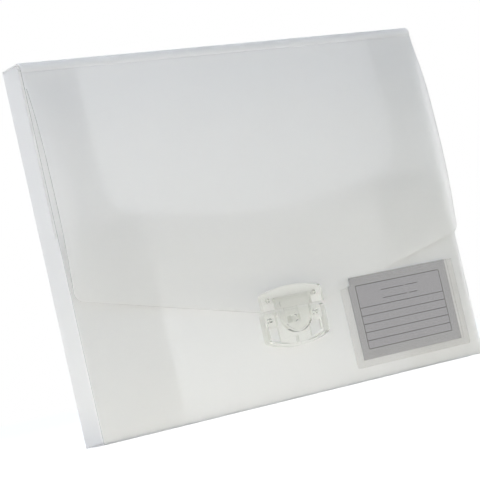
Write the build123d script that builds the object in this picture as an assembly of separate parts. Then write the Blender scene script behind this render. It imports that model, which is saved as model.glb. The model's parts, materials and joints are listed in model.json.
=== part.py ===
"""Slim document box folded from frosted polypropylene sheet, standing on its bottom wall.

X runs across the box, +Z is up and the front faces -Y. The origin is the centre of the bottom wall's
outer face. All lengths are millimetres. A distance called "proud" is measured outward from the front
panel's outer face.
"""

from build123d import *
import os

# Box, outside sizes
BOX_WIDTH = 330.0
BOX_HEIGHT = 250.0
BOX_DEPTH = 25.0

# Sheet, its folds and its creases
SHEET = 0.8
FOLD_RADIUS = 1.2
PANEL_CLEARANCE = 0.3
HINGE_RADIUS = 0.35
MOVING_CREASE_GAP = 0.2

# Front panel and its cut-away top
EAR_WIDTH = 40.0
FRONT_MID_HEIGHT = 131.5
FRONT_EDGE_RISE = 16.5
RECESS_CORNER_RADIUS = 18.0
EAR_CORNER_RADIUS = 4.0

# Tabs that turn in from the side walls, behind the front panel, and spring a few degrees away from it
TAB_WIDTH = 65.0
TAB_HEIGHT = 142.0
TAB_TAPER_RUN = 22.0
TAB_TAPER_DROP = 7.0
TAB_CORNER_RADIUS = 8.0
TAB_FOLD_RADIUS = 3.0
TAB_SPRING = 1.5

# Lid: top wall with a rounded shoulder, and the flap that hangs from it
SHOULDER_RADIUS = 5.0
SHOULDER_HEIGHT = 7.0
FLAP_SIDE_LENGTH = 157.2
FLAP_FOOT_RISE = 0.3
FLAP_CORNER_RADIUS = 7.0
FLAP_CUT_CLEARANCE = 0.8
FLAP_CUT_RADIUS = 2.0
FLAP_SEAT_PROUD = 3.6
FLAP_SEAT_HEIGHT = 20.0
FLAP_LOWER_BULGE = 6.2
FLAP_LOWER_SHARE = 0.21
FLAP_BULGE = 7.8
FLAP_MIDDLE_SHARE = 0.5
FLAP_UPPER_BULGE = 6.7
FLAP_UPPER_SHARE = 0.73
FLAP_TOP_LEAN = 0.16

# Clasp, common to both halves
CLASP_WIDTH = 53.0
CLASP_SPLIT_HEIGHT = 61.2
CLASP_SPLIT_GAP = 1.3
CLASP_EDGE_RADIUS = 0.5
PIN_SPACING = 40.0
PIN_RADIUS = 1.4
PIN_CLEARANCE = 0.05
BACK_PLATE_WIDTH = 47.0
BACK_PLATE_HEIGHT = 8.0
BACK_PLATE_THICKNESS = 1.4
BACK_PLATE_CORNER_RADIUS = 2.0

# Clasp base on the front panel
BASE_HEIGHT = 25.5
BASE_BELLY = 5.0
BASE_CORNER_RADIUS = 4.0
BASE_TOP_CORNER_RADIUS = 2.0
BASE_PROUD = 5.6
BASE_FLOOR = 1.5
BASE_RIM = 2.4
BASE_PIN_DROP = 5.7
EAR_BLOCK_PROUD = 4.0
EAR_BLOCK_HEIGHT = 9.5
EAR_BLOCK_GAP = 1.5
RIVET_HEAD_RADIUS = 2.1
RIVET_HEAD_HEIGHT = 0.8
RIVET_HEAD_ROUNDING = 0.4
VENT_MARGIN = 1.0
VENT_INNER_OFFSET = 1.6
VENT_HALF_GAP = 13.5
CATCH_TAB_HALF_WIDTH = 5.8
CATCH_TAB_RISE = 2.4
CATCH_TAB_FOOT = 5.0
CATCH_TAB_PROUD = 2.0
RIB_THICKNESS = 1.6
RIB_LENGTH = 5.0
RIB_PROUD = 3.0
ROOT_SINK = 0.75

# Hasp on the flap
HASP_SIDE_HEIGHT = 11.5
HASP_CROWN = 3.8
HASP_CORNER_RADIUS = 3.0
HASP_LOWER_RADIUS = 1.2
HASP_THICKNESS = 3.4
HASP_WEB = 0.7
HASP_PIN_RISE = 7.8
HASP_PIN_DEPTH = 2.2

# Latch tongue that presses into the base
TONGUE_HINGE_RISE = 7.4
TONGUE_HALF_WIDTH = 14.8
TONGUE_THICKNESS = 2.4
TONGUE_SLIT = 0.5
TONGUE_HINGE_CLEARANCE = 0.3
TRUNNION_RADIUS = 0.7
TRUNNION_LENGTH = 1.5
TRUNNION_CLEARANCE = 0.08
DISC_RADIUS = 13.5
DISC_DROP = 3.5
LIP_WIDTH = 1.6
LIP_HEIGHT = 0.6
TONGUE_PANEL_INSET = 3.2
TONGUE_PANEL_MARGIN = 1.6
TONGUE_PANEL_CORNER_RADIUS = 1.0
TONGUE_PANEL_DEPTH = 0.5
STUD_RADIUS = 2.5
STUD_LENGTH = 2.2
STUD_DROP = 7.2
SOCKET_CLEARANCE = 0.5
SOCKET_WALL = 1.6
SOCKET_GAP = 0.4

# Label and its pocket
POCKET_WIDTH = 108.0
POCKET_HEIGHT = 64.2
POCKET_SIDE_MARGIN = 9.9
POCKET_FLOOR_MARGIN = 9.5
POCKET_SEAM = 5.0
POCKET_THICKNESS = 0.7
POCKET_FILM = 0.25
POCKET_CORNER_RADIUS = 2.5
CARD_CLEARANCE = 2.25
CARD_THICKNESS = 0.35

# How near a corner has to be to a named point
SAME_PLACE = 0.01

# Places worked out from the sizes above
HALF_WIDTH = BOX_WIDTH / 2
HALF_DEPTH = BOX_DEPTH / 2
HALF_SHEET = SHEET / 2
INNER_FOLD = FOLD_RADIUS - SHEET
LID_PROUD = PANEL_CLEARANCE + SHEET
WALL_TOP = BOX_HEIGHT - SHEET - PANEL_CLEARANCE
TAB_FOLD_X = HALF_WIDTH - TAB_FOLD_RADIUS
TAB_FOLD_Y = TAB_FOLD_RADIUS + SHEET - HALF_DEPTH
EAR_TOP = BOX_HEIGHT - SHOULDER_RADIUS
REAR_CREASE_Y = HALF_DEPTH - HALF_SHEET
REAR_CREASE_Z = BOX_HEIGHT - HALF_SHEET
FRONT_CREASE_Y = -(HALF_DEPTH + LID_PROUD - HALF_SHEET)
FRONT_CREASE_Z = BOX_HEIGHT - SHOULDER_HEIGHT
FIXED_EDGE = HINGE_RADIUS + HALF_SHEET
MOVING_EDGE = HINGE_RADIUS + MOVING_CREASE_GAP + HALF_SHEET
BASE_TOP = CLASP_SPLIT_HEIGHT - CLASP_SPLIT_GAP / 2
HASP_BOTTOM = CLASP_SPLIT_HEIGHT + CLASP_SPLIT_GAP / 2
FLAP_FOOT = HASP_BOTTOM + FLAP_FOOT_RISE
HASP_PROUD = FLAP_SEAT_PROUD + HASP_THICKNESS
TONGUE_BACK = HASP_PROUD - TONGUE_THICKNESS
TONGUE_AXIS_PROUD = HASP_PROUD - TONGUE_THICKNESS / 2
TONGUE_AXIS_Z = CLASP_SPLIT_HEIGHT + TONGUE_HINGE_RISE
DISC_Z = CLASP_SPLIT_HEIGHT - DISC_DROP
STUD_Z = CLASP_SPLIT_HEIGHT - STUD_DROP
BASE_PIN_Z = CLASP_SPLIT_HEIGHT - BASE_PIN_DROP
HASP_PIN_Z = CLASP_SPLIT_HEIGHT + HASP_PIN_RISE
POCKET_LEFT = HALF_WIDTH - POCKET_SIDE_MARGIN - POCKET_WIDTH
POCKET_TOP = POCKET_FLOOR_MARGIN + POCKET_HEIGHT
CARD_LEFT = POCKET_LEFT + POCKET_SEAM + CARD_CLEARANCE
CARD_RIGHT = POCKET_LEFT + POCKET_WIDTH - POCKET_SEAM - CARD_CLEARANCE


def across(profile, half_length):
    """Extrude a closed profile, drawn as (y, z), evenly to both sides along X."""
    plane = Plane(origin=(-half_length, 0, 0), x_dir=(0, 1, 0), z_dir=(1, 0, 0))
    return extrude(plane * profile, amount=2 * half_length)


def outward(outline, low, high):
    """Extrude a front view outline, drawn as (x, z), from one proud height to another."""
    plane = Plane(origin=(0, -(HALF_DEPTH + low), 0), x_dir=(1, 0, 0), z_dir=(0, -1, 0))
    return extrude(plane * outline, amount=high - low)


def upward(outline, low, high):
    """Extrude a plan view outline, drawn as (x, y), between two heights."""
    return extrude(Plane.XY.offset(low) * outline, amount=high - low)


def rectangle(x0, x1, z0, z1):
    """Upright rectangle between two corners."""
    return Pos((x0 + x1) / 2, (z0 + z1) / 2) * Rectangle(x1 - x0, z1 - z0)


def closed(*edges):
    """Face inside a closed chain of edges."""
    return make_face(Wire(list(edges)))


def chain(*points):
    """Straight edges from point to point."""
    return [Line(a, b) for a, b in zip(points, points[1:])]


def turn_in(corner_face, points, radius):
    """Round the corners of a face that lie at the given points."""
    picked = [
        vertex
        for vertex in corner_face.vertices()
        if any((vertex.center() - Vector(*point)).length < SAME_PLACE for point in points)
    ]
    return fillet(picked, radius)


def mirrored(shape):
    """The same piece on the other side of the box."""
    return mirror(shape, about=Plane.YZ)


def make_back_panel():
    """Back wall, whose rounded top edge meets the lid's rear crease."""
    top = REAR_CREASE_Z - FIXED_EDGE
    outer = HALF_DEPTH
    inner = HALF_DEPTH - SHEET
    profile = closed(
        *chain((inner, top), (inner, FOLD_RADIUS), (outer, FOLD_RADIUS), (outer, top)),
        ThreePointArc((outer, top), (REAR_CREASE_Y, top + HALF_SHEET), (inner, top)),
    )
    return across(profile, HALF_WIDTH - FOLD_RADIUS)


def make_bottom_wall():
    """Bottom wall with the two folds that turn up into the front and the back."""
    outer = HALF_DEPTH - FOLD_RADIUS
    profile = rectangle(-outer, outer, 0, SHEET)
    for side in (-1, 1):
        ring = Circle(FOLD_RADIUS) - Circle(INNER_FOLD)
        quarter = ring & rectangle(min(0, side * FOLD_RADIUS), max(0, side * FOLD_RADIUS), -FOLD_RADIUS, 0)
        profile += Pos(side * outer, FOLD_RADIUS) * quarter
    return across(profile, HALF_WIDTH)


def make_side_wall():
    """Right side wall: folded round into the back, and into the front tab as high as the tab goes."""
    back = HALF_DEPTH - FOLD_RADIUS
    ring = Circle(FOLD_RADIUS) - Circle(INNER_FOLD)
    plan = rectangle(HALF_WIDTH - SHEET, HALF_WIDTH, TAB_FOLD_Y, back)
    plan += Pos(HALF_WIDTH - FOLD_RADIUS, back) * (ring & rectangle(0, FOLD_RADIUS, 0, FOLD_RADIUS))
    wall = upward(plan, FOLD_RADIUS, WALL_TOP)
    top_corner = wall.edges().filter_by(Axis.X).group_by(Axis.Z)[-1].sort_by(Axis.Y)[0]
    wall = fillet(top_corner, SHOULDER_RADIUS - SHEET)
    tab_ring = Circle(TAB_FOLD_RADIUS) - Circle(TAB_FOLD_RADIUS - SHEET)
    quarter = rectangle(0, TAB_FOLD_RADIUS, -TAB_FOLD_RADIUS, 0)
    tab_fold = tab_ring & (quarter + Rot(0, 0, -TAB_SPRING) * quarter)
    wall += upward(Pos(TAB_FOLD_X, TAB_FOLD_Y) * tab_fold, FOLD_RADIUS, TAB_HEIGHT - TAB_TAPER_DROP)
    return wall


def make_inner_tab():
    """Right tab behind the front panel, with a tapered outer top corner, turned a little past square."""
    length = TAB_WIDTH - TAB_FOLD_RADIUS
    low = TAB_HEIGHT - TAB_TAPER_DROP
    corners = [(-length, FOLD_RADIUS), (0, FOLD_RADIUS), (0, low)]
    corners += [(-TAB_TAPER_RUN, TAB_HEIGHT), (-length, TAB_HEIGHT)]
    outline = make_face(Polyline(*corners, close=True))
    outline = turn_in(outline, [(-length, TAB_HEIGHT)], TAB_CORNER_RADIUS)
    plane = Plane(origin=(0, SHEET - TAB_FOLD_RADIUS, 0), x_dir=(1, 0, 0), z_dir=(0, -1, 0))
    tab = extrude(plane * outline, amount=SHEET)
    return Pos(TAB_FOLD_X, TAB_FOLD_Y) * Rot(0, 0, -TAB_SPRING) * tab


def make_front_panel():
    """Front wall with a wide rounded recess between two tall ears."""
    recess = HALF_WIDTH - EAR_WIDTH
    edge = FRONT_MID_HEIGHT + FRONT_EDGE_RISE
    outline = rectangle(-HALF_WIDTH, HALF_WIDTH, FOLD_RADIUS, EAR_TOP)
    cut = closed(
        *chain((recess, edge), (recess, BOX_HEIGHT), (-recess, BOX_HEIGHT), (-recess, edge)),
        ThreePointArc((-recess, edge), (0, FRONT_MID_HEIGHT), (recess, edge)),
    )
    cut = turn_in(cut, [(recess, edge), (-recess, edge)], RECESS_CORNER_RADIUS)
    outline -= cut
    ear_corners = [(side * recess, EAR_TOP) for side in (-1, 1)]
    outline = turn_in(outline, ear_corners, EAR_CORNER_RADIUS)
    for side in (-1, 1):
        outline -= Pos(side * PIN_SPACING / 2, BASE_PIN_Z) * Circle(PIN_RADIUS + PIN_CLEARANCE)
    return outward(outline, -SHEET, 0)


def make_hinge_line(y, z):
    """Thin web of a crease, left where two panels of the sheet bend against each other."""
    return Pos(0, y, z) * Rot(0, 90, 0) * Cylinder(HINGE_RADIUS, BOX_WIDTH)


def make_lid_top_wall():
    """Top wall of the lid, rounded over the front shoulder down to the flap's crease."""
    rear = REAR_CREASE_Y - MOVING_EDGE
    front = -(HALF_DEPTH + LID_PROUD)
    end = FRONT_CREASE_Z + FIXED_EDGE
    top, under = BOX_HEIGHT, BOX_HEIGHT - SHEET
    bend = SHOULDER_RADIUS * (1 - 2**-0.5)
    inner_bend = bend + SHEET * 2**-0.5
    turn_y, turn_z = front + SHOULDER_RADIUS, top - SHOULDER_RADIUS
    profile = closed(
        Line((rear, top), (turn_y, top)),
        ThreePointArc((turn_y, top), (front + bend, top - bend), (front, turn_z)),
        Line((front, turn_z), (front, end)),
        ThreePointArc((front, end), (FRONT_CREASE_Y, end - HALF_SHEET), (front + SHEET, end)),
        Line((front + SHEET, end), (front + SHEET, turn_z)),
        ThreePointArc((front + SHEET, turn_z), (front + inner_bend, top - inner_bend), (turn_y, under)),
        Line((turn_y, under), (rear, under)),
        ThreePointArc((rear, under), (rear + HALF_SHEET, REAR_CREASE_Z), (rear, top)),
    )
    return across(profile, HALF_WIDTH)


def flap_curve(depth):
    """Bowed side view of the flap, from the clasp seat up to its crease, at a depth in the sheet."""
    seat = FLAP_FOOT + FLAP_SEAT_HEIGHT
    span = FRONT_CREASE_Z - MOVING_EDGE - seat
    bow = [
        (0, FLAP_SEAT_PROUD),
        (FLAP_LOWER_SHARE, FLAP_LOWER_BULGE),
        (FLAP_MIDDLE_SHARE, FLAP_BULGE),
        (FLAP_UPPER_SHARE, FLAP_UPPER_BULGE),
        (1, LID_PROUD),
    ]
    points = [(-(HALF_DEPTH + proud - depth), seat + share * span) for share, proud in bow]
    return Spline(*points, tangents=[(0, 1), (FLAP_TOP_LEAN, 1)])


def make_flap_outline():
    """Front view of the flap: a shallow point, flat at the clasp and cut out at the card's corner."""
    side_z = BOX_HEIGHT - FLAP_SIDE_LENGTH
    flat = CLASP_WIDTH / 2
    lower = [(-HALF_WIDTH, side_z), (-flat, FLAP_FOOT), (flat, FLAP_FOOT), (HALF_WIDTH, side_z)]
    upper = [(HALF_WIDTH, BOX_HEIGHT), (-HALF_WIDTH, BOX_HEIGHT)]
    outline = make_face(Polyline(*lower, *upper, close=True))
    outline = turn_in(outline, [lower[0], lower[-1]], FLAP_CORNER_RADIUS)
    cut_x, cut_z = CARD_LEFT - FLAP_CUT_CLEARANCE, POCKET_TOP + FLAP_CUT_CLEARANCE
    cut = rectangle(cut_x, CARD_RIGHT, POCKET_FLOOR_MARGIN, cut_z)
    return outline - fillet(cut.vertices(), FLAP_CUT_RADIUS)


def make_lid_flap():
    """Front flap of the lid, cut from a larger sheet that bows outward and lies flat at the clasp."""
    outer = flap_curve(0)
    inner = flap_curve(SHEET)
    outer_y = -(HALF_DEPTH + FLAP_SEAT_PROUD)
    inner_y = outer_y + SHEET
    profile = closed(
        *chain((inner_y, (inner @ 0).Y), (inner_y, 0), (outer_y, 0), (outer_y, (outer @ 0).Y)),
        outer,
        ThreePointArc(outer @ 1, (FRONT_CREASE_Y, (outer @ 1).Y + HALF_SHEET), inner @ 1),
        inner,
    )
    flap = across(profile, BOX_WIDTH) & outward(make_flap_outline(), -BOX_DEPTH, BOX_DEPTH)
    for side in (-1, 1):
        hole = Pos(side * PIN_SPACING / 2, HASP_PIN_Z) * Circle(PIN_RADIUS + PIN_CLEARANCE)
        flap -= outward(hole, 0, HASP_PROUD)
    return flap


def make_clasp_outline(flat_z, side_z, crown_z):
    """Half of the clasp's front outline: flat at the split, bowed at the far edge."""
    half = CLASP_WIDTH / 2
    return closed(
        *chain((half, side_z), (half, flat_z), (-half, flat_z), (-half, side_z)),
        ThreePointArc((-half, side_z), (0, crown_z), (half, side_z)),
    )


def pin_places(height):
    """Centres of the two clasp pins at a height."""
    return [Pos(side * PIN_SPACING / 2, height) for side in (-1, 1)]


def make_clasp_base():
    """Lower half of the clasp: rimmed tray with two ears, side openings and two jaws for the stud."""
    half = CLASP_WIDTH / 2
    side_z = BASE_TOP - BASE_HEIGHT + BASE_BELLY
    outline = make_clasp_outline(BASE_TOP, side_z, side_z - BASE_BELLY)
    outline = turn_in(outline, [(half, side_z), (-half, side_z)], BASE_CORNER_RADIUS)
    outline = turn_in(outline, [(half, BASE_TOP), (-half, BASE_TOP)], BASE_TOP_CORNER_RADIUS)
    inside = offset(outline, -BASE_RIM)
    ear_foot = BASE_TOP - EAR_BLOCK_HEIGHT
    ear_inner = DISC_RADIUS + EAR_BLOCK_GAP
    mouth = rectangle(-ear_inner, ear_inner, ear_foot, BASE_TOP + BASE_RIM)
    vents = offset(outline, -(BASE_RIM + VENT_MARGIN))
    vents -= Pos(0, DISC_Z) * Circle(DISC_RADIUS + VENT_INNER_OFFSET)
    vents -= rectangle(-VENT_HALF_GAP, VENT_HALF_GAP, side_z - BASE_BELLY, BASE_TOP)
    vents -= rectangle(-half, half, ear_foot - VENT_MARGIN, BASE_TOP)
    base = outward(outline - vents, 0, BASE_FLOOR)
    base += outward(outline - inside - mouth, 0, BASE_PROUD)
    blocks = inside & rectangle(-half, half, ear_foot, BASE_TOP)
    base += outward(blocks - mouth, 0, EAR_BLOCK_PROUD)
    tab_half = CATCH_TAB_HALF_WIDTH
    tab = rectangle(-tab_half, tab_half, BASE_TOP - CATCH_TAB_FOOT, BASE_TOP + CATCH_TAB_RISE)
    root = BASE_FLOOR - ROOT_SINK
    base += outward(tab, root, CATCH_TAB_PROUD)
    rib_foot = side_z - BASE_BELLY + BASE_RIM
    rib_half = RIB_THICKNESS / 2
    rib = rectangle(-rib_half, rib_half, rib_foot - ROOT_SINK, rib_foot + RIB_LENGTH)
    base += outward(rib, root, RIB_PROUD)
    for side in (-1, 1):
        jaw_x = side * (STUD_RADIUS + SOCKET_CLEARANCE + SOCKET_WALL / 2)
        jaw = Pos(jaw_x, STUD_Z) * Rectangle(SOCKET_WALL, 2 * STUD_RADIUS)
        base += outward(jaw, root, TONGUE_BACK - SOCKET_GAP)
    for place in pin_places(BASE_PIN_Z):
        base -= outward(place * Circle(PIN_RADIUS + PIN_CLEARANCE), 0, BASE_PROUD)
    front_edges = base.faces().filter_by(Axis.Y).sort_by(Axis.Y)[0].outer_wire().edges()
    return fillet(front_edges, CLASP_EDGE_RADIUS)


def make_back_plate(height, proud):
    """Strip behind the sheet that the clasp's pins hold on to."""
    half, rise = BACK_PLATE_WIDTH / 2, BACK_PLATE_HEIGHT / 2
    outline = rectangle(-half, half, height - rise, height + rise)
    outline = fillet(outline.vertices(), BACK_PLATE_CORNER_RADIUS)
    for place in pin_places(height):
        outline -= place * Circle(PIN_RADIUS + PIN_CLEARANCE)
    return outward(outline, proud - BACK_PLATE_THICKNESS, proud)


def make_base_rivets():
    """Two rivets through the base's ears, the front panel and the plate behind it."""
    rivets = []
    behind = -SHEET - BACK_PLATE_THICKNESS
    for place in pin_places(BASE_PIN_Z):
        rivet = outward(place * Circle(PIN_RADIUS), behind, EAR_BLOCK_PROUD)
        rivet += outward(place * Circle(RIVET_HEAD_RADIUS), behind - RIVET_HEAD_HEIGHT, behind)
        top = EAR_BLOCK_PROUD + RIVET_HEAD_HEIGHT
        head = outward(place * Circle(RIVET_HEAD_RADIUS), EAR_BLOCK_PROUD, top)
        rim = head.faces().sort_by(Axis.Y)[0].edges()
        rivets.append(rivet + fillet(rim, RIVET_HEAD_ROUNDING))
    return Compound(children=rivets)


def make_hasp():
    """Upper half of the clasp: bowed plate with two shoulders and a window for the tongue."""
    half = CLASP_WIDTH / 2
    side_z = HASP_BOTTOM + HASP_SIDE_HEIGHT
    outline = make_clasp_outline(HASP_BOTTOM, side_z, side_z + HASP_CROWN)
    outline = turn_in(outline, [(half, side_z), (-half, side_z)], HASP_CORNER_RADIUS)
    outline = turn_in(outline, [(half, HASP_BOTTOM), (-half, HASP_BOTTOM)], HASP_LOWER_RADIUS)
    hasp = outward(outline, FLAP_SEAT_PROUD, HASP_PROUD)
    front_edges = hasp.faces().filter_by(Axis.Y).sort_by(Axis.Y)[0].edges()
    hasp = fillet(front_edges, CLASP_EDGE_RADIUS)
    window_half = TONGUE_HALF_WIDTH + TONGUE_SLIT
    window_top = TONGUE_AXIS_Z + TONGUE_THICKNESS / 2 + TONGUE_HINGE_CLEARANCE
    window = rectangle(-window_half, window_half, CLASP_SPLIT_HEIGHT, window_top)
    hasp -= outward(window, FLAP_SEAT_PROUD + HASP_WEB, HASP_PROUD)
    bore_half = TONGUE_HALF_WIDTH + TRUNNION_LENGTH + TONGUE_SLIT
    bore = Cylinder(TRUNNION_RADIUS + TRUNNION_CLEARANCE, 2 * bore_half)
    hasp -= Pos(0, -(HALF_DEPTH + TONGUE_AXIS_PROUD), TONGUE_AXIS_Z) * Rot(0, 90, 0) * bore
    for place in pin_places(HASP_PIN_Z):
        hole = place * Circle(PIN_RADIUS + PIN_CLEARANCE)
        hasp -= outward(hole, FLAP_SEAT_PROUD, FLAP_SEAT_PROUD + HASP_PIN_DEPTH)
    return hasp


def make_hasp_pins():
    """Two pins from the plate behind the flap into blind holes in the hasp's shoulders."""
    pins = []
    behind = FLAP_SEAT_PROUD - SHEET - BACK_PLATE_THICKNESS
    for place in pin_places(HASP_PIN_Z):
        pin = outward(place * Circle(PIN_RADIUS), behind, FLAP_SEAT_PROUD + HASP_PIN_DEPTH)
        pins.append(pin + outward(place * Circle(RIVET_HEAD_RADIUS), behind - RIVET_HEAD_HEIGHT, behind))
    return Compound(children=pins)


def make_latch_tongue():
    """Press tongue: round finger disc with a grip lip, a stud behind it and two trunnions on top."""
    half = TONGUE_HALF_WIDTH
    shoulder = rectangle(-half, half, HASP_BOTTOM, TONGUE_AXIS_Z)
    disc = Pos(0, DISC_Z) * Circle(DISC_RADIUS)
    below_axis = rectangle(-half, half, DISC_Z - DISC_RADIUS, TONGUE_AXIS_Z)
    tongue = outward((shoulder + disc) & below_axis, TONGUE_BACK, HASP_PROUD)
    axis_place = Pos(0, -(HALF_DEPTH + TONGUE_AXIS_PROUD), TONGUE_AXIS_Z) * Rot(0, 90, 0)
    tongue += axis_place * Cylinder(TONGUE_THICKNESS / 2, 2 * half)
    tongue += axis_place * Cylinder(TRUNNION_RADIUS, 2 * (half + TRUNNION_LENGTH))
    lip = disc - Pos(0, DISC_Z) * Circle(DISC_RADIUS - LIP_WIDTH)
    lip &= rectangle(-DISC_RADIUS, DISC_RADIUS, DISC_Z - DISC_RADIUS, DISC_Z - DISC_RADIUS / 2)
    tongue += outward(lip, TONGUE_BACK, HASP_PROUD + LIP_HEIGHT)
    panel_half = half - TONGUE_PANEL_INSET
    margin = TONGUE_PANEL_MARGIN
    panel = rectangle(-panel_half, panel_half, HASP_BOTTOM + margin, TONGUE_AXIS_Z - margin)
    panel = fillet(panel.vertices(), TONGUE_PANEL_CORNER_RADIUS)
    tongue -= outward(panel, HASP_PROUD - TONGUE_PANEL_DEPTH, HASP_PROUD + LIP_HEIGHT)
    stud = outward(Pos(0, STUD_Z) * Circle(STUD_RADIUS), TONGUE_BACK - STUD_LENGTH, TONGUE_BACK)
    tip = stud.faces().sort_by(Axis.Y)[-1].edges()
    return tongue + fillet(tip, CLASP_EDGE_RADIUS)


def make_label_pocket():
    """Clear film sleeve, welded to the front panel at its foot and sides and open at the top."""
    left, low = POCKET_LEFT, POCKET_FLOOR_MARGIN
    right, high = left + POCKET_WIDTH, POCKET_TOP
    outline = rectangle(left, right, low, high)
    outline = turn_in(outline, [(left, low), (right, low)], POCKET_CORNER_RADIUS)
    pocket = outward(outline, 0, POCKET_THICKNESS)
    slot = rectangle(left + POCKET_SEAM, right - POCKET_SEAM, low + POCKET_SEAM, high)
    return pocket - outward(slot, 0, POCKET_THICKNESS - POCKET_FILM)


def make_label_card():
    """Card in the pocket, a little narrower than it and flush with its open edge."""
    card = rectangle(CARD_LEFT, CARD_RIGHT, POCKET_FLOOR_MARGIN + POCKET_SEAM, POCKET_TOP)
    return outward(card, 0, CARD_THICKNESS)


def build_parts():
    """Every piece of the box by name."""
    side_wall = make_side_wall()
    inner_tab = make_inner_tab()
    return {
        "back_panel": make_back_panel(),
        "bottom_wall": make_bottom_wall(),
        "front_panel": make_front_panel(),
        "left_side_wall": mirrored(side_wall),
        "right_side_wall": side_wall,
        "left_inner_tab": mirrored(inner_tab),
        "right_inner_tab": inner_tab,
        "rear_living_hinge": make_hinge_line(REAR_CREASE_Y, REAR_CREASE_Z),
        "lid_top_wall": make_lid_top_wall(),
        "front_living_hinge": make_hinge_line(FRONT_CREASE_Y, FRONT_CREASE_Z),
        "lid_flap": make_lid_flap(),
        "clasp_base": make_clasp_base(),
        "base_back_plate": make_back_plate(BASE_PIN_Z, -SHEET),
        "base_rivets": make_base_rivets(),
        "hasp": make_hasp(),
        "hasp_back_plate": make_back_plate(HASP_PIN_Z, FLAP_SEAT_PROUD - SHEET),
        "hasp_pins": make_hasp_pins(),
        "latch_tongue": make_latch_tongue(),
        "label_pocket": make_label_pocket(),
        "label_card": make_label_card(),
    }


def main():
    """Write one file for each piece."""
    os.makedirs("parts", exist_ok=True)
    for name, piece in build_parts().items():
        export_step(piece, f"parts/{name}.step")


if __name__ == "__main__":
    main()
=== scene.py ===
"""Looks of a slim document box folded from frosted polypropylene sheet, with a clear press clasp.

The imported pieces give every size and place. What a rounder edge, a continuous fold or a finer
surface improves is remade here over its piece. Lengths are metres unless a name ends in _MM, and
angles are degrees.
"""

import json
import math

import bmesh
import bpy
import numpy as np
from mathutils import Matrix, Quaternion, Vector

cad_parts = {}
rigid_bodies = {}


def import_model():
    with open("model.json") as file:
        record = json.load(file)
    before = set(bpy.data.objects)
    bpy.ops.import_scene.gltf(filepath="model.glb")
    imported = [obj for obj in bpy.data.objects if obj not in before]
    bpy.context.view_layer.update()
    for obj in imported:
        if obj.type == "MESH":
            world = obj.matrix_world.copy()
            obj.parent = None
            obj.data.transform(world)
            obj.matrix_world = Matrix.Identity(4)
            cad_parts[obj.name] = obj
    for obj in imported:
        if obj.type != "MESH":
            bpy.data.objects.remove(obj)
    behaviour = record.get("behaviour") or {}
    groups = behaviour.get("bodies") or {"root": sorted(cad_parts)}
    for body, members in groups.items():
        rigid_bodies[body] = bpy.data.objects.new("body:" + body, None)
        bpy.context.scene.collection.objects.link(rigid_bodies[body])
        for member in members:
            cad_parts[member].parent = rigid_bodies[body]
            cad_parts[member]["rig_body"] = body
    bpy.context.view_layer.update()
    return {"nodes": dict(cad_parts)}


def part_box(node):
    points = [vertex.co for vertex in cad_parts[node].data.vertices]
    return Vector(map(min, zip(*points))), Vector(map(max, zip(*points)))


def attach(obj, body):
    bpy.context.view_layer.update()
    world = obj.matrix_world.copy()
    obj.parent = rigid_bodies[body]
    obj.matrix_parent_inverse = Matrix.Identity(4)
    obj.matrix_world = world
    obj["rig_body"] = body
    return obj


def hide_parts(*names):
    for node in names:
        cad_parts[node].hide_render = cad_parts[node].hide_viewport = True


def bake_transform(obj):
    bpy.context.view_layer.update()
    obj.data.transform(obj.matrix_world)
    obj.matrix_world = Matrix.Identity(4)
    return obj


MM = 0.001

# Camera, as the photograph was taken: low, to the left of the box and rolled
CAMERA_PLACE_MM = (-700.8, -961.1, 27.2)
CAMERA_AIM_MM = (-29.7, 0.0, 74.2)
CAMERA_ROLL = 12.84
CAMERA_LENS = 128.56
CAMERA_SHIFT_Y = 0.125
CAMERA_CLIP = 0.01
SENSOR_WIDTH = 36.0

# Light on the object, and the white that the camera sees behind it
HORIZON_COLOUR = (1.0, 1.0, 0.99)
SKY_COLOUR = (0.15, 0.21, 0.3)
SKY_START = -0.02
SKY_END = 0.12
FLOOR_SIZE = 40.0
FLOOR_DROP_MM = 0.3
FLOOR_COLOUR = (0.55, 0.55, 0.54)
FLOOR_ROUGHNESS = 0.9
FLOOR_GLOW = 0.9
KEY_PLACE = (-1.3, -0.6, 0.3)
KEY_SIZE = 0.9
KEY_POWER = 9.15
KEY_COLOUR = (0.92, 0.905, 0.98)
BOUNCE_PLACE = (-0.05, -0.2337, 0.0001)
BOUNCE_SIZE = (1.3, 0.44)
BOUNCE_POWER = 1.57
BOUNCE_COLOUR = (1.0, 0.945, 0.74)
SIDE_BOUNCE_PLACE = (-0.3, 0.08, 0.0001)
SIDE_BOUNCE_SIZE = (0.22, 0.2)
SIDE_BOUNCE_POWER = 0.12
TOP_PLACE = (0.2, 0.3, 1.3)
TOP_SIZE = 1.0
TOP_POWER = 3.6
TOP_COLOUR = (0.93, 0.97, 1.0)
LAMP_AIM = (0.0, 0.0, 0.1)
LIGHT_BOUNCES = 32
CLEAR_BOUNCES = 48

# How much of the light goes through each plastic, and how strongly it bends it
SHEET_CLEARNESS = 0.62
SHEET_ROUGHNESS = 0.42
SHEET_IOR = 1.3
CLASP_CLEARNESS = 0.98
CLASP_ROUGHNESS = 0.18
CLASP_IOR = 1.12
# Greyer sides of the clasp mouldings: painted shade
CLASP_SIDE_SHADE_CLEARNESS = 0.85
CLASP_SIDE_SHADE_TONE = (0.77, 0.78, 0.75)
# Darker side faces round the tongue's foot, up to this height: painted shadow under its lip
TONGUE_LIP_SHADOW_CLEARNESS = 0.5
TONGUE_LIP_SHADOW_TONE = (0.25, 0.25, 0.24)
TONGUE_LIP_SHADOW_MM = 3.0
SIDE_TONE_SPREAD = 1.15
FILM_CLEARNESS = 0.97
FILM_IOR = 1.1
SOLID_IOR = 1.5

# Depth of each surface's fine relief
FROST_RELIEF_MM = 0.004
PLAIN_RELIEF_MM = 0.01
INK_RELIEF_MM = 0.005

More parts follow.
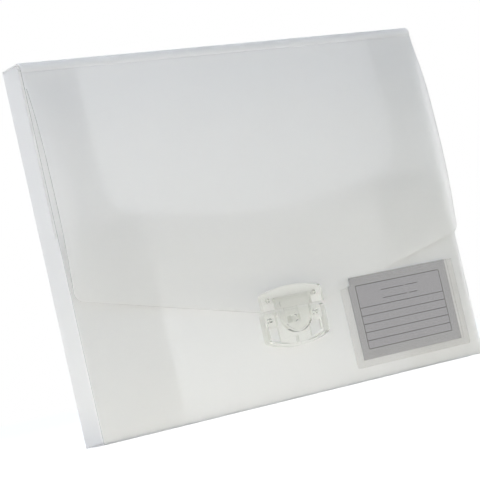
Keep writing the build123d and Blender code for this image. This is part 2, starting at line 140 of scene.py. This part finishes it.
# Small clearances and edges of the dressed pieces
SKIN_GAP_MM = 0.05
FILM_GAP_MM = 0.01
SHEET_EDGE_MM = 0.12
MOULDING_EDGE_MM = 0.3
PLATE_EDGE_MM = 0.2
CARD_EDGE_MM = 0.05
EDGE_SEGMENTS = 2
SHARP_ANGLE = 35.0
FLAT_ANGLE = 1.0
MERGE_MM = 0.002
# Faces turned less than this toward the front or back get the darker edge materials, which are painted
# shade
EDGE_SHADE_FACING = 0.5

# Lid sheet
LID_SHEET_MM = 0.7
LID_GAP_MM = 0.08
SHOULDER_RADIUS_MM = 5.0
HEIGHT_MATCH_MM = 0.01
HEIGHT_DIGITS = 5
PLACE_DIGITS = 6
CREASE_DEPTH_MM = 0.3
CREASE_HALF_WIDTH_MM = 0.8
LID_COLUMNS = 96
TOP_ROWS = 10
SHOULDER_ROWS = 12
BAND_ROWS = 3
CREASE_ROWS = 8
FLAP_ROWS = 84
BOW_DEGREE = 7
SOFT_RIM_DROP_MM = 12.0
CARD_CUT_GAP_MM = 0.8
CARD_CUT_RADIUS_MM = 2.0
CARD_CUT_STEP_MM = 0.05
CARD_CUT_COLUMNS = 6

# Label print, from the card's edges. A header rule is its drop below the head, start and end
RULE_WIDTH_MM = 0.45
RULE_THICKNESS_MM = 0.03
PRINT_LEFT_MM = 6.5
PRINT_RIGHT_MM = 7.5
PRINT_FOOT_MM = 7.0
PRINT_HEAD_MM = 6.5
RULE_SINK_MM = 0.005
RULE_PITCH_MM = 5.9
RULE_COUNT = 6
HEADER_RUNS_MM = ((6.0, 22.6, 43.6), (6.0, 45.6, 56.6), (12.0, 22.6, 45.6), (12.0, 47.6, 55.6))
FIELD_THICKNESS_MM = 0.02

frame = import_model()
nodes = frame["nodes"]


def on_body(node):
    """The body that a node belongs to."""
    return nodes[node]["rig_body"]


# Materials


def new_material(name):
    """An empty material with its Principled shader."""
    material = bpy.data.materials.new(name)
    material.use_nodes = True
    return material, material.node_tree.nodes["Principled BSDF"]


def place_group(material, group, **values):
    """Put a node group into a material and set its inputs."""
    node = material.node_tree.nodes.new("ShaderNodeGroup")
    node.node_tree = group
    for name, value in values.items():
        node.inputs[name.replace("_", " ")].default_value = value
    return node


def make_grain_group():
    """Fine surface grain and slow unevenness, for colour, roughness and relief."""
    group = bpy.data.node_groups.new("surface_grain", "ShaderNodeTree")
    for name, kind in (
        ("Tone", "NodeSocketColor"),
        ("Second Tone", "NodeSocketColor"),
        ("Cloud Size", "NodeSocketFloat"),
        ("Grain Size", "NodeSocketFloat"),
        ("Roughness", "NodeSocketFloat"),
        ("Roughness Spread", "NodeSocketFloat"),
    ):
        group.interface.new_socket(name, in_out="INPUT", socket_type=kind)
    for name, kind in (
        ("Color", "NodeSocketColor"),
        ("Roughness", "NodeSocketFloat"),
        ("Height", "NodeSocketFloat"),
    ):
        group.interface.new_socket(name, in_out="OUTPUT", socket_type=kind)
    make, link = group.nodes.new, group.links.new
    source, result = make("NodeGroupInput"), make("NodeGroupOutput")
    place = make("ShaderNodeTexCoord")
    cloud_scale, grain_scale = make("ShaderNodeMath"), make("ShaderNodeMath")
    cloud, grain = make("ShaderNodeTexNoise"), make("ShaderNodeTexNoise")
    for scale, size, noise in (
        (cloud_scale, "Cloud Size", cloud),
        (grain_scale, "Grain Size", grain),
    ):
        scale.operation = "DIVIDE"
        scale.inputs[0].default_value = 1.0
        link(source.outputs[size], scale.inputs[1])
        link(scale.outputs[0], noise.inputs["Scale"])
        link(place.outputs["Object"], noise.inputs["Vector"])
    tone = make("ShaderNodeMix")
    tone.data_type = "RGBA"
    link(cloud.outputs["Fac"], tone.inputs["Factor"])
    link(source.outputs["Tone"], tone.inputs["A"])
    link(source.outputs["Second Tone"], tone.inputs["B"])
    link(tone.outputs["Result"], result.inputs["Color"])
    spread = make("ShaderNodeMath")
    spread.operation = "MULTIPLY_ADD"
    link(cloud.outputs["Fac"], spread.inputs[0])
    link(source.outputs["Roughness Spread"], spread.inputs[1])
    link(source.outputs["Roughness"], spread.inputs[2])
    link(spread.outputs[0], result.inputs["Roughness"])
    link(grain.outputs["Fac"], result.inputs["Height"])
    return group


def finish_surface(material, shader, grain, relief_mm):
    """Wire a grain node into a Principled shader, with its relief as bump."""
    tree = material.node_tree
    bump = tree.nodes.new("ShaderNodeBump")
    bump.inputs["Distance"].default_value = relief_mm * MM
    bump.inputs["Strength"].default_value = 1.0
    tree.links.new(grain.outputs["Color"], shader.inputs["Base Color"])
    tree.links.new(grain.outputs["Roughness"], shader.inputs["Roughness"])
    tree.links.new(grain.outputs["Height"], bump.inputs["Height"])
    tree.links.new(bump.outputs["Normal"], shader.inputs["Normal"])


def make_surface(name, grain_group, relief_mm, clearness=0.0, ior=SOLID_IOR, **look):
    """A material with the surface grain: how deep it is, how clear the plastic is, and its look."""
    material, shader = new_material(name)
    shader.inputs["Transmission Weight"].default_value = clearness
    shader.inputs["IOR"].default_value = ior
    finish_surface(material, shader, place_group(material, grain_group, **look), relief_mm)
    return material


def make_frosted_sheet(grain_group):
    """Frosted polypropylene: milky, matt on both faces and blurring what lies behind it."""
    return make_surface(
        "frosted_polypropylene",
        grain_group,
        FROST_RELIEF_MM,
        SHEET_CLEARNESS,
        SHEET_IOR,
        Tone=(0.985, 0.984, 0.978, 1),
        Second_Tone=(0.99, 0.989, 0.984, 1),
        Cloud_Size=0.12,
        Grain_Size=0.0006,
        Roughness=SHEET_ROUGHNESS,
        Roughness_Spread=0.06,
    )


def make_cut_edge_shade(grain_group):
    """Cut edge of the frosted sheet, painted dark: painted shade for the light that runs inside the
    sheet and is lost at its edge.
    """
    return make_surface(
        "frosted_cut_edge_painted_shade",
        grain_group,
        PLAIN_RELIEF_MM,
        Tone=(0.48, 0.485, 0.47, 1),
        Second_Tone=(0.6, 0.6, 0.58, 1),
        Cloud_Size=0.02,
        Grain_Size=0.0006,
        Roughness=0.5,
        Roughness_Spread=0.1,
    )


def make_clear_moulding(grain_group):
    """Clear moulded plastic of the clasp, glossy with a faint haze."""
    return make_surface(
        "clear_moulded_plastic",
        grain_group,
        PLAIN_RELIEF_MM,
        CLASP_CLEARNESS,
        CLASP_IOR,
        Tone=(0.975, 0.98, 0.965, 1),
        Second_Tone=(0.985, 0.988, 0.975, 1),
        Cloud_Size=0.008,
        Grain_Size=0.0015,
        Roughness=CLASP_ROUGHNESS,
        Roughness_Spread=0.05,
    )


def make_moulding_side_shade(name, tone, clearness, grain_group):
    """Sides of a clear moulding, painted greyer: painted shade for the light its thickness loses, drawn
    as a grey outline.
    """
    return make_surface(
        name,
        grain_group,
        PLAIN_RELIEF_MM,
        clearness,
        CLASP_IOR,
        Tone=(*tone, 1),
        Second_Tone=(*(channel * SIDE_TONE_SPREAD for channel in tone), 1),
        Cloud_Size=0.008,
        Grain_Size=0.0015,
        Roughness=0.25,
        Roughness_Spread=0.1,
    )


def make_clear_film(grain_group):
    """Thin clear film of the label pocket, softly glossy."""
    return make_surface(
        "clear_pocket_film",
        grain_group,
        PLAIN_RELIEF_MM,
        FILM_CLEARNESS,
        FILM_IOR,
        Tone=(0.83, 0.83, 0.83, 1),
        Second_Tone=(0.85, 0.85, 0.845, 1),
        Cloud_Size=0.03,
        Grain_Size=0.004,
        Roughness=0.02,
        Roughness_Spread=0.03,
    )


def make_card_stock(grain_group):
    """Grey card of the label, with a fibre grain."""
    return make_surface(
        "grey_card",
        grain_group,
        PLAIN_RELIEF_MM,
        Tone=(0.4, 0.397, 0.414, 1),
        Second_Tone=(0.42, 0.418, 0.43, 1),
        Cloud_Size=0.02,
        Grain_Size=0.0004,
        Roughness=0.75,
        Roughness_Spread=0.1,
    )


def make_field_tint(grain_group):
    """Slightly darker print inside the ruled frame."""
    return make_surface(
        "grey_field",
        grain_group,
        PLAIN_RELIEF_MM,
        Tone=(0.375, 0.37, 0.396, 1),
        Second_Tone=(0.395, 0.39, 0.414, 1),
        Cloud_Size=0.02,
        Grain_Size=0.0004,
        Roughness=0.75,
        Roughness_Spread=0.1,
    )


def make_rule_ink(grain_group):
    """Dark grey ink of the printed rules."""
    return make_surface(
        "grey_ink",
        grain_group,
        INK_RELIEF_MM,
        Tone=(0.04, 0.04, 0.045, 1),
        Second_Tone=(0.08, 0.08, 0.085, 1),
        Cloud_Size=0.004,
        Grain_Size=0.0003,
        Roughness=0.6,
        Roughness_Spread=0.1,
    )


# Meshes


def add_object(name, mesh, *materials):
    """Link a new piece at the origin, with its materials."""
    piece = bpy.data.objects.new(name, mesh)
    for material in materials:
        mesh.materials.append(material)
    bpy.context.scene.collection.objects.link(piece)
    return piece


def applied(piece):
    """Turn a piece's modifiers into plain mesh."""
    bpy.context.view_layer.update()
    graph = bpy.context.evaluated_depsgraph_get()
    mesh = bpy.data.meshes.new_from_object(piece.evaluated_get(graph))
    piece.modifiers.clear()
    piece.data = mesh
    return piece


def soften_edges(piece, edge_mm):
    """Round every sharp edge a little and shade smoothly, with the large faces kept flat."""
    mesh = piece.data
    mesh.polygons.foreach_set("use_smooth", [True] * len(mesh.polygons))
    bevel = piece.modifiers.new("edge", "BEVEL")
    bevel.width = edge_mm * MM
    bevel.segments = EDGE_SEGMENTS
    bevel.limit_method = "ANGLE"
    bevel.angle_limit = math.radians(SHARP_ANGLE)
    piece.modifiers.new("flat_faces", "WEIGHTED_NORMAL")
    return applied(piece)


def dressed(node, name, edge_mm, *materials, gap_mm=SKIN_GAP_MM):
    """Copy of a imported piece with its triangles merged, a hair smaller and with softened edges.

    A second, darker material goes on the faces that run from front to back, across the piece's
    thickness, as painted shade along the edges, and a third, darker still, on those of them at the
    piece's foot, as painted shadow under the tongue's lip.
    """
    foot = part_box(node)[0].z + TONGUE_LIP_SHADOW_MM * MM
    form = bmesh.new()
    form.from_mesh(nodes[node].data)
    bmesh.ops.remove_doubles(form, verts=form.verts, dist=MERGE_MM * MM)
    flat = math.radians(FLAT_ANGLE)
    bmesh.ops.dissolve_limit(form, angle_limit=flat, verts=form.verts, edges=form.edges)
    form.normal_update()
    # Side faces get the painted-shade material, and those at the foot the painted-shadow material
    for face in form.faces:
        edge = abs(face.normal.y) < EDGE_SHADE_FACING
        low = edge and face.calc_center_median().z < foot
        face.material_index = min(edge + low, len(materials) - 1)
    for vertex in form.verts:
        vertex.co -= vertex.normal * gap_mm * MM
    mesh = bpy.data.meshes.new(name)
    form.to_mesh(mesh)
    form.free()
    piece = add_object(name, mesh, *materials)
    soften_edges(piece, edge_mm)
    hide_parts(node)
    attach(piece, on_body(node))
    return piece


# Lid sheet


def lower_hull(points):
    """Lower side of the convex outline round some (x, z) points, from left to right."""
    hull = []
    for point in sorted(points):
        while len(hull) > 1:
            (x0, z0), (x1, z1) = hull[-2:]
            if (x1 - x0) * (point[1] - z0) > (z1 - z0) * (point[0] - x0):
                break
            hull.pop()
        hull.append(point)
    return hull


def flap_bow(points, top):
    """Outer face of the flap by height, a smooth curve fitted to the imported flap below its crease."""
    heights = np.unique(points[:, 2].round(HEIGHT_DIGITS))
    heights = heights[heights < top]
    near = HEIGHT_MATCH_MM * MM
    outer = [points[np.abs(points[:, 2] - height) < near][:, 1].min() for height in heights]
    return np.polynomial.Polynomial.fit(heights, outer, BOW_DEGREE)


def cut_columns():
    """Left side of the flap's cut-out at the card, and the columns that draw its rounded corner."""
    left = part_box("label_card")[0].x - CARD_CUT_GAP_MM * MM
    turns = np.linspace(0, math.pi / 2, CARD_CUT_COLUMNS)
    rounded = left + CARD_CUT_RADIUS_MM * MM * (1 - np.cos(turns))
    return left, np.concatenate([[left - CARD_CUT_STEP_MM * MM], rounded])


def flap_foot(x, foot, cut_left):
    """Height of the flap's lower edge: its shallow point, raised to show the corner of the card."""
    edge = np.interp(x, foot[:, 0], foot[:, 1])
    if x < cut_left:
        return edge
    radius = CARD_CUT_RADIUS_MM * MM
    across = max(0, radius - (x - cut_left))
    cut_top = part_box("label_pocket")[1].z + CARD_CUT_GAP_MM * MM
    return max(edge, cut_top - radius + math.sqrt(radius**2 - across**2))


def lid_rows(crease_z):
    """Outer face of the lid from its rear edge to the foot of its crease, as (y, z) points."""
    low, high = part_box("lid_top_wall")
    gap = LID_GAP_MM * MM
    radius, front, top = SHOULDER_RADIUS_MM * MM, low.y + gap, high.z - gap
    half = CREASE_HALF_WIDTH_MM * MM
    rows = [(high.y + (front + radius - high.y) * i / TOP_ROWS, top) for i in range(TOP_ROWS)]
    for i in range(SHOULDER_ROWS):
        turn = math.pi / 2 * i / SHOULDER_ROWS
        rows.append((front + radius * (1 - math.sin(turn)), top - radius * (1 - math.cos(turn))))
    band = top - radius - (crease_z + half)
    rows += [(front, top - radius - band * i / BAND_ROWS) for i in range(BAND_ROWS)]
    for i in range(CREASE_ROWS + 1):
        across = 2 * i / CREASE_ROWS - 1
        dip = CREASE_DEPTH_MM * MM * (1 + math.cos(math.pi * across)) / 2
        rows.append((front + dip, crease_z - half * across))
    return rows


def make_lid_sheet(material, cut):
    """Top wall, shoulder, crease and bowed flap of the lid as one bent sheet."""
    crease_low, crease_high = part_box("front_living_hinge")
    crease = (crease_low + crease_high) / 2
    points = np.array([vertex.co for vertex in nodes["lid_flap"].data.vertices])
    top = crease.z - CREASE_HALF_WIDTH_MM * MM
    bow = flap_bow(points, top)
    front_view = {(round(x, PLACE_DIGITS), round(z, PLACE_DIGITS)) for x, _, z in points.tolist()}
    foot = np.array(lower_hull(front_view))
    foot = foot[: np.argmax(foot[:, 0]) + 1]
    gap = LID_GAP_MM * MM
    half_width = points[:, 0].max() - gap
    cut_left, extra = cut_columns()
    columns = np.linspace(-half_width, half_width, LID_COLUMNS + 1)
    corners = foot[np.abs(foot[:, 0]) < half_width, 0]
    columns = np.unique(np.concatenate([columns, corners, extra]).round(PLACE_DIGITS))
    rows = lid_rows(crease.z)
    offset = rows[-1][0] - bow(top) - gap
    form = bmesh.new()
    grid = []
    for x in columns:
        line = [form.verts.new((x, y, z)) for y, z in rows]
        low = flap_foot(x, foot, cut_left)
        for i in range(1, FLAP_ROWS + 1):
            z = top + (low - top) * i / FLAP_ROWS
            ease = offset * max(0, 1 - i / CREASE_ROWS) ** 2
            line.append(form.verts.new((x, bow(z) + gap + ease, z)))
        grid.append(line)
    for left, right in zip(grid, grid[1:]):
        for i in range(len(left) - 1):
            form.faces.new((left[i], left[i + 1], right[i + 1], right[i]))
    mesh = bpy.data.meshes.new("lid_sheet")
    form.to_mesh(mesh)
    form.free()
    piece = add_object("lid_sheet", mesh, material, cut)
    wall = piece.modifiers.new("wall", "SOLIDIFY")
    # Rim faces take the second, cut-edge material: a dark painted shade along the lid's edge
    wall.material_offset_rim = 1
    wall.thickness = LID_SHEET_MM * MM
    wall.offset = -1
    wall.use_even_offset = True
    soften_edges(piece, SHEET_EDGE_MM)
    # Near the top the rim keeps the plain sheet, without the painted shade
    for face in piece.data.polygons:
        if face.center.z > crease.z - SOFT_RIM_DROP_MM * MM:
            face.material_index = 0
    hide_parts("lid_top_wall", "front_living_hinge", "lid_flap")
    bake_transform(piece)
    return piece


# Label


def make_bar_tree(material):
    """Geometry nodes for a ladder of flat bars: their count, first place, step and size."""
    tree = bpy.data.node_groups.new("printed_bars", "GeometryNodeTree")
    tree.interface.new_socket("Geometry", in_out="OUTPUT", socket_type="NodeSocketGeometry")
    tree.interface.new_socket("Count", in_out="INPUT", socket_type="NodeSocketInt")
    for name in ("Start", "Step", "Bar Size"):
        tree.interface.new_socket(name, in_out="INPUT", socket_type="NodeSocketVector")
    make, link = tree.nodes.new, tree.links.new
    source, result = make("NodeGroupInput"), make("NodeGroupOutput")
    ladder = make("GeometryNodeMeshLine")
    bar = make("GeometryNodeMeshCube")
    place = make("GeometryNodeInstanceOnPoints")
    solid = make("GeometryNodeRealizeInstances")
    ink = make("GeometryNodeSetMaterial")
    ink.inputs["Material"].default_value = material
    link(source.outputs["Count"], ladder.inputs["Count"])
    link(source.outputs["Start"], ladder.inputs["Start Location"])
    link(source.outputs["Step"], ladder.inputs["Offset"])
    link(source.outputs["Bar Size"], bar.inputs["Size"])
    link(ladder.outputs["Mesh"], place.inputs["Points"])
    link(bar.outputs["Mesh"], place.inputs["Instance"])
    link(place.outputs["Instances"], solid.inputs["Geometry"])
    link(solid.outputs["Geometry"], ink.inputs["Geometry"])
    link(ink.outputs["Geometry"], result.inputs["Geometry"])
    return tree


def printed_bars(tree, count, start, step, size, material):
    """Run the bar tree once and return its plain mesh."""
    piece = add_object("bars", bpy.data.meshes.new("bars"), material)
    ladder = piece.modifiers.new("ladder", "NODES")
    ladder.node_group = tree
    items = tree.interface.items_tree
    sockets = {item.name: item.identifier for item in items if item.in_out == "INPUT"}
    ladder[sockets["Count"]] = count
    ladder[sockets["Start"]] = start
    ladder[sockets["Step"]] = step
    ladder[sockets["Bar Size"]] = size
    return applied(piece)


def make_label_rules(material, tint):
    """Tinted field with its ruled frame, lines and short header rules, printed on the card."""
    low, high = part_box("label_card")
    tree = make_bar_tree(material)
    left, right = low.x + PRINT_LEFT_MM * MM, high.x - PRINT_RIGHT_MM * MM
    foot, head = low.z + PRINT_FOOT_MM * MM, high.z - PRINT_HEAD_MM * MM
    pen, ink = RULE_WIDTH_MM * MM, RULE_THICKNESS_MM * MM
    face = low.y - ink / 2 + RULE_SINK_MM * MM
    middle, width = (left + right) / 2, right - left
    sets = [
        (RULE_COUNT, (middle, face, foot), (0, 0, RULE_PITCH_MM * MM), (width, ink, pen)),
        (1, (middle, face, head), (0, 0, 0), (width, ink, pen)),
        (2, (left, face, (foot + head) / 2), (width, 0, 0), (pen, ink, head - foot - pen)),
    ]
    for drop, start, end in HEADER_RUNS_MM:
        spot = (left + (start + end) / 2 * MM, face, head - drop * MM)
        sets.append((1, spot, (0, 0, 0), ((end - start) * MM, ink, pen)))
    pieces = [printed_bars(tree, *values, material) for values in sets]
    form = bmesh.new()
    for piece in pieces:
        form.from_mesh(piece.data)
        bpy.data.objects.remove(piece)
    mesh = bpy.data.meshes.new("label_rules")
    form.to_mesh(mesh)
    form.free()
    rules = add_object("label_rules", mesh, material)
    film = FIELD_THICKNESS_MM * MM
    spot = (middle, low.y - film / 2 + RULE_SINK_MM * MM, (foot + head) / 2)
    field = printed_bars(make_bar_tree(tint), 1, spot, (0, 0, 0), (width, film, head - foot), tint)
    field.name = "label_field"
    for piece in (rules, field):
        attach(piece, on_body("label_card"))


# Stage, light and camera


def seen_share(tree):
    """One for rays that show the ground behind the object, zero for those that light it."""
    path = tree.nodes.new("ShaderNodeLightPath")
    seen = path.outputs["Is Camera Ray"]
    for name in ("Is Glossy Ray", "Is Transmission Ray"):
        larger = tree.nodes.new("ShaderNodeMath")
        larger.operation = "MAXIMUM"
        tree.links.new(seen, larger.inputs[0])
        tree.links.new(path.outputs[name], larger.inputs[1])
        seen = larger.outputs[0]
    return seen


def make_floor():
    """Plain pale floor that runs out of sight and keeps a soft shadow."""
    half = FLOOR_SIZE / 2
    mesh = bpy.data.meshes.new("floor")
    drop = -FLOOR_DROP_MM * MM
    corners = [(x * half, y * half, drop) for x, y in ((-1, -1), (1, -1), (1, 1), (-1, 1))]
    mesh.from_pydata(corners, [], [(0, 1, 2, 3)])
    material, shader = new_material("pale_floor")
    tree = material.node_tree
    shader.inputs["Base Color"].default_value = (*FLOOR_COLOUR, 1)
    shader.inputs["Roughness"].default_value = FLOOR_ROUGHNESS
    shader.inputs["Specular IOR Level"].default_value = 0.0
    shader.inputs["Emission Color"].default_value = (1, 1, 1, 1)
    glow = tree.nodes.new("ShaderNodeMath")
    glow.operation = "MULTIPLY"
    glow.inputs[1].default_value = FLOOR_GLOW
    tree.links.new(seen_share(tree), glow.inputs[0])
    tree.links.new(glow.outputs[0], shader.inputs["Emission Strength"])
    add_object("floor", mesh, material)


def make_room():
    """Even studio light, and plain white behind the object."""
    world = bpy.data.worlds.new("studio")
    bpy.context.scene.world = world
    world.use_nodes = True
    tree = world.node_tree
    room = tree.nodes["Background"]
    white = tree.nodes.new("ShaderNodeBackground")
    white.inputs["Color"].default_value = (1, 1, 1, 1)
    direction = tree.nodes.new("ShaderNodeTexCoord")
    height = tree.nodes.new("ShaderNodeSeparateXYZ")
    rise = tree.nodes.new("ShaderNodeMapRange")
    rise.interpolation_type = "SMOOTHSTEP"
    rise.inputs["From Min"].default_value = SKY_START
    rise.inputs["From Max"].default_value = SKY_END
    tone = tree.nodes.new("ShaderNodeMix")
    tone.data_type = "RGBA"
    tone.inputs["A"].default_value = (*HORIZON_COLOUR, 1)
    tone.inputs["B"].default_value = (*SKY_COLOUR, 1)
    tree.links.new(direction.outputs["Generated"], height.inputs[0])
    tree.links.new(height.outputs["Z"], rise.inputs["Value"])
    tree.links.new(rise.outputs["Result"], tone.inputs["Factor"])
    tree.links.new(tone.outputs["Result"], room.inputs["Color"])
    mix = tree.nodes.new("ShaderNodeMixShader")
    tree.links.new(seen_share(tree), mix.inputs["Fac"])
    tree.links.new(room.outputs[0], mix.inputs[1])
    tree.links.new(white.outputs[0], mix.inputs[2])
    tree.links.new(mix.outputs[0], tree.nodes["World Output"].inputs["Surface"])


def make_lamp(name, place, size, power, colour, aim):
    """Soft rectangular lamp that faces a point and isn't seen itself."""
    light = bpy.data.lights.new(name, "AREA")
    light.shape = "RECTANGLE"
    light.size, light.size_y = size
    light.energy = power
    light.color = colour
    lamp = bpy.data.objects.new(name, light)
    lamp.location = place
    lamp.rotation_mode = "QUATERNION"
    lamp.rotation_quaternion = (Vector(aim) - Vector(place)).to_track_quat("-Z", "Y")
    lamp.visible_camera = False
    bpy.context.scene.collection.objects.link(lamp)


def make_camera():
    """Camera at the photograph's place, aim and roll."""
    camera = bpy.data.objects.new("camera", bpy.data.cameras.new("camera"))
    bpy.context.scene.collection.objects.link(camera)
    camera.data.sensor_width = SENSOR_WIDTH
    camera.data.lens = CAMERA_LENS
    camera.data.shift_y = CAMERA_SHIFT_Y
    place = Vector(CAMERA_PLACE_MM) * MM
    aim = Vector(CAMERA_AIM_MM) * MM - place
    camera.location = place
    camera.rotation_mode = "QUATERNION"
    roll = Quaternion((0, 0, 1), math.radians(-CAMERA_ROLL))
    camera.rotation_quaternion = aim.to_track_quat("-Z", "Y") @ roll
    camera.data.clip_start = CAMERA_CLIP
    bpy.context.scene.camera = camera


def main():
    """Build every piece, the stage and the camera."""
    grain = make_grain_group()
    frosted = make_frosted_sheet(grain)
    # Cut-edge material: painted shade that draws dark lines along the sheets' edges
    cut = make_cut_edge_shade(grain)
    clear = make_clear_moulding(grain)
    # Painted shade: greyer sides on the clasp mouldings
    side = make_moulding_side_shade("clear_moulded_side_painted_shade", CLASP_SIDE_SHADE_TONE, CLASP_SIDE_SHADE_CLEARNESS, grain)
    # Painted shadow: dark side faces at the tongue's foot, under its lip
    lip_shadow = make_moulding_side_shade("clear_tongue_lip_painted_shadow", TONGUE_LIP_SHADOW_TONE, TONGUE_LIP_SHADOW_CLEARNESS, grain)
    film = make_clear_film(grain)
    card = make_card_stock(grain)
    for node in ("back_panel", "bottom_wall", "left_side_wall", "right_side_wall"):
        dressed(node, f"{node}_sheet", SHEET_EDGE_MM, frosted)
    for node in ("front_panel", "left_inner_tab", "right_inner_tab"):
        dressed(node, f"{node}_sheet", SHEET_EDGE_MM, frosted, cut)
    for node in ("clasp_base", "hasp"):
        dressed(node, f"{node}_moulding", MOULDING_EDGE_MM, clear, side)
    tongue = dressed("latch_tongue", "tongue_moulding", MOULDING_EDGE_MM, clear, side, lip_shadow)
    for node in ("base_back_plate", "hasp_back_plate", "base_rivets", "hasp_pins"):
        dressed(node, f"{node}_moulding", PLATE_EDGE_MM, clear)
    dressed("label_pocket", "pocket_film", CARD_EDGE_MM, film, gap_mm=FILM_GAP_MM)
    dressed("label_card", "printed_card", CARD_EDGE_MM, card, gap_mm=FILM_GAP_MM)
    make_label_rules(make_rule_ink(grain), make_field_tint(grain))
    make_lid_sheet(frosted, cut)
    nodes["rear_living_hinge"].data.materials.clear()
    nodes["rear_living_hinge"].data.materials.append(frosted)
    make_floor()
    make_room()
    make_lamp("key", KEY_PLACE, (KEY_SIZE, KEY_SIZE), KEY_POWER, KEY_COLOUR, LAMP_AIM)
    for name, place, size, power in (
        ("table_bounce", BOUNCE_PLACE, BOUNCE_SIZE, BOUNCE_POWER),
        ("side_bounce", SIDE_BOUNCE_PLACE, SIDE_BOUNCE_SIZE, SIDE_BOUNCE_POWER),
    ):
        above = Vector(place) + Vector((0, 0, 1))
        make_lamp(name, place, size, power, BOUNCE_COLOUR, above)
    make_lamp("top", TOP_PLACE, (TOP_SIZE, TOP_SIZE), TOP_POWER, TOP_COLOUR, LAMP_AIM)
    make_camera()


main()
scene = bpy.context.scene
scene.view_settings.view_transform = "Standard"
scene.cycles.transparent_max_bounces = CLEAR_BOUNCES
scene.cycles.max_bounces = LIGHT_BOUNCES
scene.cycles.transmission_bounces = LIGHT_BOUNCES
